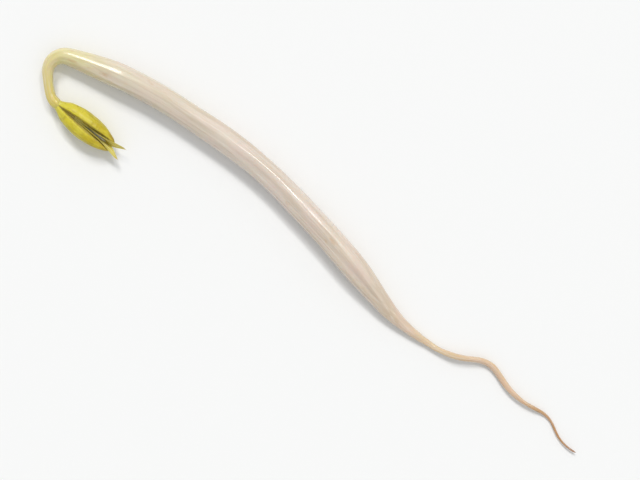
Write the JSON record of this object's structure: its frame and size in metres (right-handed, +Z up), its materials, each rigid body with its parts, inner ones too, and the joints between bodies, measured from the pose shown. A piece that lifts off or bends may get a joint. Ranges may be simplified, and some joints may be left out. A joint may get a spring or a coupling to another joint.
{
  "type": "mung bean sprout",
  "caption": "Single mung bean sprout lying on its side: tapering pale stem with thin wavy root, hooked neck, parted yellow cotyledons and first leaves between them.",
  "frame": {"origin": "under the middle of the sprout's box, on the surface that it lies on", "axes": "+X from the hooked neck towards the root tip, along the sprout's length; +Y from the cotyledons' side towards the stem's bowed side; +Z up from the surface"},
  "size_m": [0.089, 0.0156, 0.0037],
  "materials": {
    "stem_tissue": "moist, soft gloss, slightly translucent",
    "cotyledon_tissue": "moist, soft sheen",
    "leaf_tissue": "moist, matt, thin and translucent"
  },
  "bodies": {
    "root": {"stem_with_root": "stem_tissue", "cotyledon_inner": "cotyledon_tissue", "cotyledon_outer": "cotyledon_tissue", "first_leaf_inner": "leaf_tissue", "first_leaf_outer": "leaf_tissue"}
  },
  "joints": []
}
